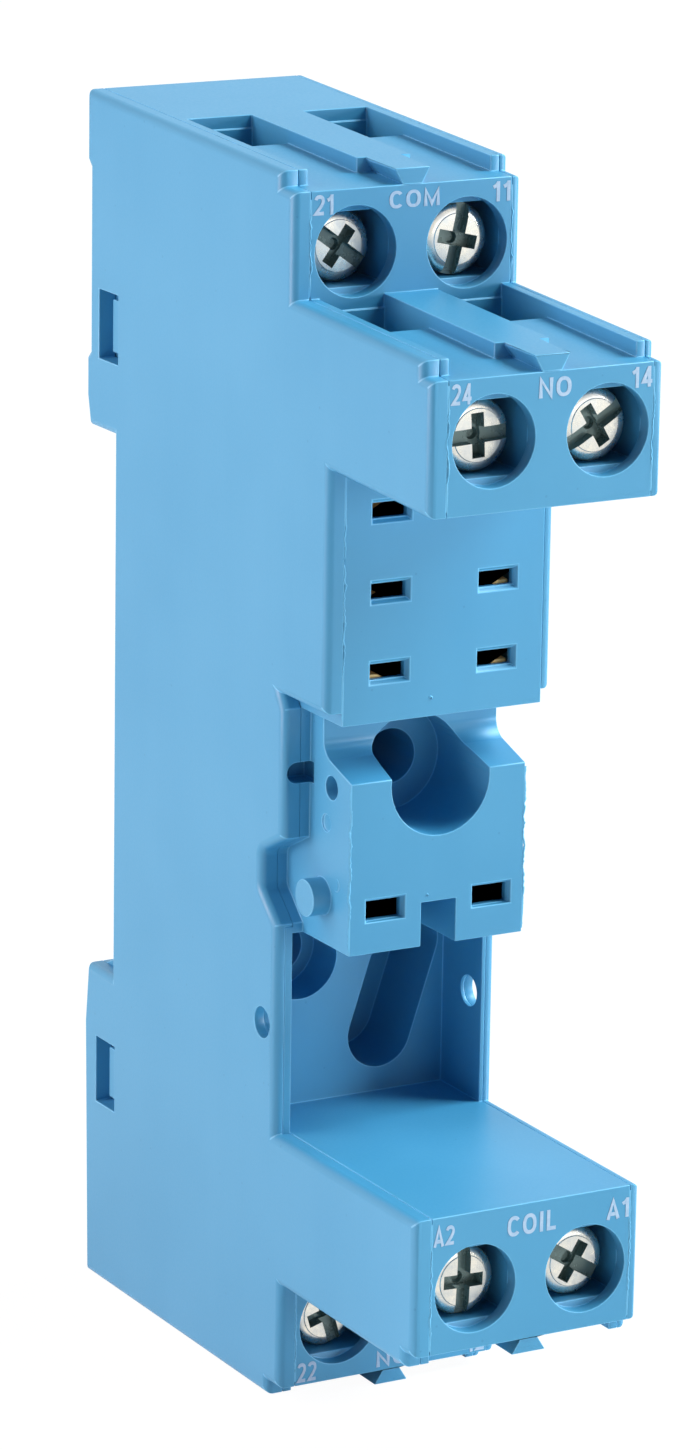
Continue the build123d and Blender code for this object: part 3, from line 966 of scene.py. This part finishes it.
@dataclass
class TerminalScrew:
    """Pan head screw with a slot and a shorter cross arm, made on the Z axis and laid into its well.

    Lengths are in millimetres. The head's face is at zero, and the cone widens the middle of the recess.
    """

    finish: bpy.types.Material
    head_radius: float = 2.25
    head_height: float = 1.8
    shank_radius: float = 1.49
    core_radius: float = 1.22
    pitch: float = 0.5
    reach: float = 8.8
    end_chamfer: float = 0.15
    steps: int = 96
    bar_taper: tuple[float, float] = (0.97, 0.84)
    cone_mouth: float = 0.98
    cone_tip: float = 0.30
    cone_depth: float = 1.15
    cone_steps: int = 28
    below_cone: float = 1.02
    rim: float = 0.97
    dome_depth: float = 0.28
    dome_slope: float = 0.35

    @property
    def bars(self) -> tuple[Point, ...]:
        """Length, width and depth of the recess's bars, longest first."""
        return (
            (self.head_radius * 2.4, 1.0, 0.62),
            (0.86, 2.95, 0.85),
        )

    def turned(self) -> bmesh.types.BMesh:
        """Spins the screw's profile, from the domed head down to the end of the thread.

        Returns:
            The screw without its recess.
        """
        radius = self.head_radius
        profile = [
            (0.0, 0.0),
            (radius * 0.50, -0.01),
            (radius * 0.705, -0.03),
            (radius * 0.722, -0.075),
            (radius * 0.755, -0.085),
            (radius * 0.86, -0.15),
            (radius * 0.94, -0.27),
            (radius * 0.985, -0.45),
            (radius, -0.68),
            (radius, -self.head_height + 0.08),
            (radius - 0.08, -self.head_height),
            (self.core_radius, -self.head_height),
        ]
        depth = self.head_height
        while depth + self.pitch < self.reach:
            profile.append((self.core_radius, -depth - self.pitch * 0.1))
            profile.append((self.shank_radius, -depth - self.pitch * 0.45))
            profile.append((self.shank_radius, -depth - self.pitch * 0.55))
            profile.append((self.core_radius, -depth - self.pitch * 0.9))
            depth += self.pitch
        profile += [
            (self.core_radius, -self.reach + self.end_chamfer),
            (self.core_radius - self.end_chamfer, -self.reach),
            (0.0, -self.reach),
        ]
        bm = bmesh.new()
        verts = [bm.verts.new((r * MM, 0.0, z * MM)) for r, z in profile]
        for first, second in zip(verts, verts[1:]):
            bm.edges.new((first, second))
        bmesh.ops.spin(
            bm,
            geom=bm.verts[:] + bm.edges[:],
            cent=(0, 0, 0),
            axis=(0, 0, 1),
            angle=tau,
            steps=self.steps,
            use_merge=True,
        )
        bmesh.ops.remove_doubles(bm, verts=bm.verts, dist=0.001 * MM)
        bmesh.ops.recalc_face_normals(bm, faces=bm.faces)
        return bm

    def bar(self, name: str, size: Point) -> bpy.types.Object:
        """Makes one bar that cuts the recess, half of it above the head, tapered towards its floor.

        Args:
            name: its name.
            size: its length, width and depth.

        Returns:
            The bar.
        """
        length, width, depth = size
        mesh = bpy.data.meshes.new(name)
        bm = bmesh.new()
        cube = bmesh.ops.create_cube(bm, size=1.0)
        bmesh.ops.scale(bm, verts=cube["verts"], vec=(length * MM, width * MM, 2 * depth * MM))
        floor = [v for v in cube["verts"] if v.co.z < 0]
        bmesh.ops.scale(bm, verts=floor, vec=(*self.bar_taper, 1.0))
        bm.to_mesh(mesh)
        bm.free()
        return link(mesh, name)

    def cone(self, name: str) -> bpy.types.Object:
        """Makes the cone that cuts the recess's middle, half of it above the head.

        Args:
            name: its name.

        Returns:
            The cone.
        """
        mesh = bpy.data.meshes.new(name)
        bm = bmesh.new()
        bmesh.ops.create_cone(
            bm,
            cap_ends=True,
            segments=self.cone_steps,
            radius1=self.cone_tip * MM,
            radius2=self.cone_mouth * MM,
            depth=2 * self.cone_depth * MM,
        )
        bm.to_mesh(mesh)
        bm.free()
        return link(mesh, name)

    def head_with_recess(self) -> bpy.types.Mesh:
        """Cuts the recess into the turned screw.

        Returns:
            The cut screw's mesh.
        """
        blank = bpy.data.meshes.new("screw_blank")
        solid = self.turned()
        solid.to_mesh(blank)
        solid.free()
        screw = link(blank, "screw_blank")
        cutters = [self.bar(f"recess_bar_{index}", size) for index, size in enumerate(self.bars)]
        cutters.append(self.cone("recess_cone"))
        for cutter in cutters:
            cut = screw.modifiers.new("recess", "BOOLEAN")
            cut.object = cutter
            cut.operation = "DIFFERENCE"
            cut.solver = "EXACT"
        bpy.context.view_layer.update()
        graph = bpy.context.evaluated_depsgraph_get()
        mesh = bpy.data.meshes.new_from_object(screw.evaluated_get(graph))
        for leftover in (screw, *cutters):
            bpy.data.objects.remove(leftover)
        return mesh

    def shape(self) -> bmesh.types.BMesh:
        """Makes the whole screw with its recess marked for the painted shade.

        Returns:
            The screw, whose recess has a recess_shade_mask of 1.
        """
        mesh = self.head_with_recess()
        bm = bmesh.new()
        bm.from_mesh(mesh)
        bpy.data.meshes.remove(mesh)
        bmesh.ops.remove_doubles(bm, verts=bm.verts, dist=0.0005 * MM)
        low = -self.cone_depth * self.below_cone * MM
        inside = self.head_radius * self.rim * MM
        # Marks the recess for the painted shade.
        mask = bm.faces.layers.float.new("recess_shade_mask")
        for face in bm.faces:
            centre = face.calc_center_median()
            outward = Vector((centre.x, centre.y, 0.0))
            on_dome = face.normal.z > self.dome_slope and centre.z > -self.dome_depth * MM
            if outward.length <= inside and not on_dome and low < centre.z:
                face[mask] = 1.0
        return bm

    def build(self, terminal: Terminal, pattern: bmesh.types.BMesh) -> None:
        """Lays one screw into its well, turned as it stands in the photograph.

        Args:
            terminal: the terminal that the screw belongs to.
            pattern: the screw's shape, which is copied.
        """
        node = f"terminal_screw_{terminal.name}"
        low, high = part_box(node)
        place = Vector(((low[0] + high[0]) / 2, low[1], (low[2] + high[2]) / 2))
        bm = pattern.copy()
        turn = Matrix.Rotation(radians(terminal.turn), 4, "Z")
        lay = Matrix.Translation(place) @ Matrix.Rotation(pi / 2, 4, "X") @ turn
        bmesh.ops.transform(bm, matrix=lay, verts=bm.verts)
        piece = finish_mesh(bm, f"screw_{terminal.name}", self.finish, sharp=30.0)
        keep(piece, Slot.SCREW, f"screw_{terminal.name}", node)


@dataclass
class Contacts:
    """Brass strips and the plates that clamp the wires."""

    brass: bpy.types.Material
    plate: bpy.types.Material
    edges: EdgeBreak = EdgeBreak()

    def build(self, terminal: Terminal) -> None:
        """Makes one terminal's strip and plate.

        Args:
            terminal: the terminal.
        """
        name = terminal.name
        strip = finish_mesh(self.edges.copy_of(f"contact_strip_{name}"), f"brass_strip_{name}", self.brass)
        keep(strip, Slot.BRASS, ROOT, f"contact_strip_{name}")
        plate = finish_mesh(self.edges.copy_of(f"clamp_plate_{name}"), f"pressure_plate_{name}", self.plate)
        keep(plate, Slot.PLATE, f"clamp_{name}", f"clamp_plate_{name}")


@dataclass(frozen=True)
class Mark:
    """One printed terminal mark: its words, and its front plane and edges in millimetres."""

    words: str
    front: float
    left: float
    right: float
    bottom: float
    top: float


MARKS = (
    Mark("21", SECTION.back_front, -6.55, -5.15, 35.92, 37.15),
    Mark("COM", SECTION.back_front, -1.3, 2.2, 35.92, 37.15),
    Mark("11", SECTION.back_front, 5.9, 7.15, 35.92, 37.15),
    Mark("24", SECTION.main_front, -6.55, -5.15, 27.5, 28.75),
    Mark("NO", SECTION.main_front, -0.6, 1.6, 27.3, 28.75),
    Mark("14", SECTION.main_front, 5.75, 7.15, 27.5, 28.75),
    Mark("A2", SECTION.main_front, -6.55, -5.1, -24.0, -22.55),
    Mark("COIL", SECTION.main_front, -1.4, 2.0, -24.15, -22.85),
    Mark("A1", SECTION.main_front, 5.6, 7.2, -24.2, -22.75),
    Mark("22", SECTION.back_front, -6.6, -5.15, -38.5, -37.2),
    Mark("NC", SECTION.back_front, -0.8, 1.35, -38.55, -37.3),
    Mark("12", SECTION.back_front, 5.85, 7.15, -38.55, -37.3),
)

SQUARENESS = 0.85


def bowl(
    centre: tuple[float, float], radii: tuple[float, float], start: float, sweep: float, steps: int = 18
) -> Stroke:
    """Gives a squarish arc for a letter's bowl.

    Args:
        centre: the bowl's middle.
        radii: half its width and half its height.
        start: the first point's angle in degrees.
        sweep: the angle turned through in degrees.
        steps: the number of straight pieces.

    Returns:
        The arc's points.
    """
    points = []
    for step in range(steps + 1):
        angle = radians(start + sweep * step / steps)
        across, along = cos(angle), sin(angle)
        points.append(
            (
                centre[0] + radii[0] * abs(across) ** SQUARENESS * (1 if across > 0 else -1),
                centre[1] + radii[1] * abs(along) ** SQUARENESS * (1 if along > 0 else -1),
            )
        )
    return tuple(points)


# Each glyph's width and strokes, on a letter height of 1.
GLYPHS: dict[str, tuple[float, tuple[Stroke, ...]]] = {
    "1": (0.42, (((0.30, 0.0), (0.30, 1.0)), ((0.30, 0.93), (0.20, 0.80), (0.04, 0.72)))),
    "2": (
        0.62,
        (bowl((0.31, 0.71), (0.22, 0.21), 165.0, -190.0) + ((0.40, 0.42), (0.10, 0.09), (0.58, 0.09)),),
    ),
    "4": (0.64, (((0.60, 0.27), (0.09, 0.27), (0.43, 0.97)), ((0.43, 1.0), (0.43, 0.0)))),
    "A": (0.68, (((0.06, 0.0), (0.34, 0.95), (0.62, 0.0)), ((0.15, 0.27), (0.53, 0.27)))),
    "C": (0.70, (bowl((0.37, 0.5), (0.27, 0.41), 42.0, 276.0, 24),)),
    "I": (0.26, (((0.13, 0.0), (0.13, 1.0)),)),
    "L": (0.52, (((0.11, 1.0), (0.11, 0.09), (0.52, 0.09)),)),
    "M": (0.82, (((0.10, 0.0), (0.10, 0.90), (0.41, 0.14), (0.72, 0.90), (0.72, 0.0)),)),
    "N": (0.70, (((0.10, 0.0), (0.10, 0.92), (0.60, 0.08), (0.60, 1.0)),)),
    "O": (0.76, (bowl((0.38, 0.5), (0.28, 0.41), 90.0, 360.0, 32),)),
}


@dataclass
class Print:
    """Pad-printed terminal marks on the front faces, in bold condensed strokes.

    The thickness is in millimetres. The weight, the spacing and the weld are parts of a letter's height. A
    later stroke of a glyph is a little thinner than the one before, so that no two tops lie in one plane.
    """

    ink: bpy.types.Material
    thickness: float = 0.02
    thinner: float = 0.15
    weight: float = 0.18
    spacing: float = 0.14
    weld: float = 0.0001
    closes: float = 0.001
    least_mitre: float = 0.45

    def stroke(self, bm: bmesh.types.BMesh, points: Stroke, shift: float, height: float) -> None:
        """Adds one stroke as a thin closed ribbon with mitred corners.

        Args:
            bm: the mark's mesh.
            points: the stroke's middle line.
            shift: how far along the line of text its glyph starts.
            height: how far it stands up, in millimetres.
        """
        path = [Vector((x + shift, y)) for x, y in points]
        closed = (path[0] - path[-1]).length < self.closes
        pairs = []
        for index, point in enumerate(path):
            before = path[index - 1] if index else (path[-2] if closed else None)
            after = path[index + 1] if index + 1 < len(path) else (path[1] if closed else None)
            ways = []
            if before is not None:
                ways.append((point - before).normalized())
            if after is not None:
                ways.append((after - point).normalized())
            along = sum(ways, Vector((0.0, 0.0))).normalized()
            side = Vector((-along.y, along.x))
            square = Vector((-ways[0].y, ways[0].x))
            reach = self.weight / 2 / max(self.least_mitre, side.dot(square))
            pairs.append([bm.verts.new((*(point + side * s * reach), 0.0)) for s in (-1, 1)])
        ribbon = [bm.faces.new((a[0], b[0], b[1], a[1])) for a, b in zip(pairs, pairs[1:])]
        ring = [v for pair in pairs for v in pair]
        bmesh.ops.remove_doubles(bm, verts=ring, dist=self.weld)
        ribbon = [face for face in ribbon if face.is_valid]
        raised = bmesh.ops.extrude_face_region(bm, geom=ribbon)
        tops = [v for v in raised["geom"] if isinstance(v, bmesh.types.BMVert)]
        bmesh.ops.translate(bm, verts=tops, vec=(0.0, 0.0, height * MM))

    def build(self, mark: Mark) -> None:
        """Prints one mark.

        Args:
            mark: its words and the box that they fill.
        """
        bm = bmesh.new()
        shift = 0.0
        for letter in mark.words:
            advance, strokes = GLYPHS[letter]
            for order, points in enumerate(strokes):
                self.stroke(bm, points, shift, self.thickness * (1.0 - self.thinner * order))
            shift += advance + self.spacing
        xs = [v.co.x for v in bm.verts]
        ys = [v.co.y for v in bm.verts]
        bmesh.ops.translate(bm, verts=bm.verts, vec=(-min(xs), -min(ys), 0.0))
        across = (mark.right - mark.left) / (max(xs) - min(xs))
        along = (mark.top - mark.bottom) / (max(ys) - min(ys))
        bmesh.ops.scale(bm, verts=bm.verts, vec=(across * MM, along * MM, 1.0))
        bmesh.ops.recalc_face_normals(bm, faces=bm.faces)
        front = max(mark.front, SECTION.face)
        corner = Matrix.Translation((mark.left * MM, front * MM, mark.bottom * MM))
        lay = corner @ Matrix.Rotation(pi / 2, 4, "X")
        bmesh.ops.transform(bm, matrix=lay, verts=bm.verts)
        keep(finish_mesh(bm, "print_" + mark.words, self.ink), Slot.PLASTIC)


@dataclass(frozen=True)
class Lamp:
    """One square soft lamp: its place and edge length in metres, its power in watts and its colour."""

    name: str
    place: Point
    size: float
    watts: float
    colour: Colour = (1.0, 1.0, 1.0)


LAMPS = (
    Lamp("key_above_right", (0.65, -0.22, 0.66), 0.5, 12.8, (0.78, 1.0, 1.02)),
    Lamp("side_left", (-0.95, 0.16, 0.15), 0.5, 7.1, (1.3, 0.93, 0.90)),
    Lamp("back_left", (-0.70, 0.35, 0.60), 0.5, 3.6),
    Lamp("low_right", (0.80, -0.60, 0.02), 0.35, 7.1),
    Lamp("low_front", (0.25, -0.95, -0.03), 0.45, 0.9),
)


@dataclass
class Studio:
    """Camera, lamps, floor and backdrop.

    The fill is what the white room adds to the light on the object. The floor's white and glow are how it
    shows to the camera and in reflections.
    """

    place: Vector = Vector((-171.300, -323.283, 95.136)) * MM
    forward: Vector = Vector((0.47237, 0.84334, -0.25620))
    upward: Vector = Vector((0.11140, 0.23122, 0.96650))
    lens: float = 143.64
    aim: Point = (0.0, -0.02, 0.0)
    fill: float = 0.0
    floor_size: float = 6.0
    floor_colour: Colour = (0.82, 0.82, 0.82)
    floor_roughness: float = 0.9
    floor_white: float = 0.9
    glow: float = 1.07

    def camera(self) -> None:
        """Sets the camera at the photograph's place and angle."""
        data = bpy.data.cameras.new("camera")
        data.lens = self.lens
        data.sensor_width = 36.0
        data.clip_start = 0.01
        data.clip_end = 20.0
        camera = bpy.data.objects.new("camera", data)
        back = -self.forward.normalized()
        side = self.upward.cross(back).normalized()
        up = back.cross(side)
        turn = Matrix((side, up, back)).transposed()
        camera.matrix_world = Matrix.Translation(self.place) @ turn.to_4x4()
        bpy.context.scene.collection.objects.link(camera)
        bpy.context.scene.camera = camera

    def light(self, lamp: Lamp) -> None:
        """Adds one lamp, turned towards the socket.

        Args:
            lamp: its place, size, power and colour.
        """
        data = bpy.data.lights.new(lamp.name, "AREA")
        data.shape = "SQUARE"
        data.size = lamp.size
        data.energy = lamp.watts
        data.color = lamp.colour
        source = bpy.data.objects.new(lamp.name, data)
        direction = Vector(self.aim) - Vector(lamp.place)
        turn = direction.to_track_quat("-Z", "Y").to_matrix().to_4x4()
        source.matrix_world = Matrix.Translation(lamp.place) @ turn
        bpy.context.scene.collection.objects.link(source)

    def world(self) -> None:
        """Lights the room softly and shows it white to the camera and in reflections."""
        world = bpy.data.worlds.new("room")
        world.use_nodes = True
        tree = NodeTree(world.node_tree)
        sky = world.node_tree.nodes["Background"]
        path = tree.add("LightPath")
        sky.inputs["Color"].default_value = (1.0, 1.0, 1.0, 1.0)
        strength = tree.spread(path.outputs["Is Diffuse Ray"], to_low=1.0, to_high=self.fill)
        tree.feed(sky.inputs["Strength"], strength)
        bpy.context.scene.world = world

    def floor(self) -> None:
        """Lays the white floor under the socket."""
        bm = bmesh.new()
        bmesh.ops.create_grid(bm, x_segments=1, y_segments=1, size=self.floor_size / 2)
        bmesh.ops.translate(bm, verts=bm.verts, vec=(0.0, 0.0, CAD_BOX[0].z))
        mesh = bpy.data.meshes.new("floor")
        bm.to_mesh(mesh)
        bm.free()
        material, tree, shader = new_material("floor_white")
        shader.inputs["Base Color"].default_value = rgba(self.floor_colour)
        shader.inputs["Roughness"].default_value = self.floor_roughness
        glow = tree.add("Emission", {"Strength": self.glow})
        mixed = tree.add("MixShader")
        path = tree.add("LightPath")
        seen = tree.maths("SUBTRACT", 1.0, path.outputs["Is Diffuse Ray"])
        tree.feed(mixed.inputs[0], tree.maths("MULTIPLY", seen, self.floor_white))
        tree.feed(mixed.inputs[1], shader.outputs[0])
        tree.feed(mixed.inputs[2], glow.outputs[0])
        output = material.node_tree.nodes["Material Output"]
        tree.feed(output.inputs["Surface"], mixed.outputs[0])
        mesh.materials.append(material)
        link(mesh, "floor")

    def build(self) -> None:
        """Sets up the whole studio."""
        bpy.context.scene.view_settings.view_transform = "Standard"
        self.camera()
        self.world()
        self.floor()
        for lamp in LAMPS:
            self.light(lamp)


def main() -> None:
    """Builds the studio, the finishes and every piece."""
    logging.basicConfig(level=logging.INFO, format="%(message)s")
    Studio().build()
    effects = Effects()
    plastic = PLASTIC.build(effects)
    Shell(plastic).build()
    screw = TerminalScrew(ZINC.build(effects))
    pattern = screw.shape()
    contacts = Contacts(BRASS.build(effects), PLATED_STEEL.build(effects))
    for terminal in TERMINALS:
        contacts.build(terminal)
        screw.build(terminal, pattern)
    pattern.free()
    flash = MouldFlash(plastic)
    for line in FLASH_LINES:
        flash.build(line)
    witness = MouldWitness(plastic)
    for mark in WITNESSES:
        witness.build(mark)
    printing = Print(INK.build(effects))
    for mark in MARKS:
        printing.build(mark)


if __name__ == "__main__":
    main()
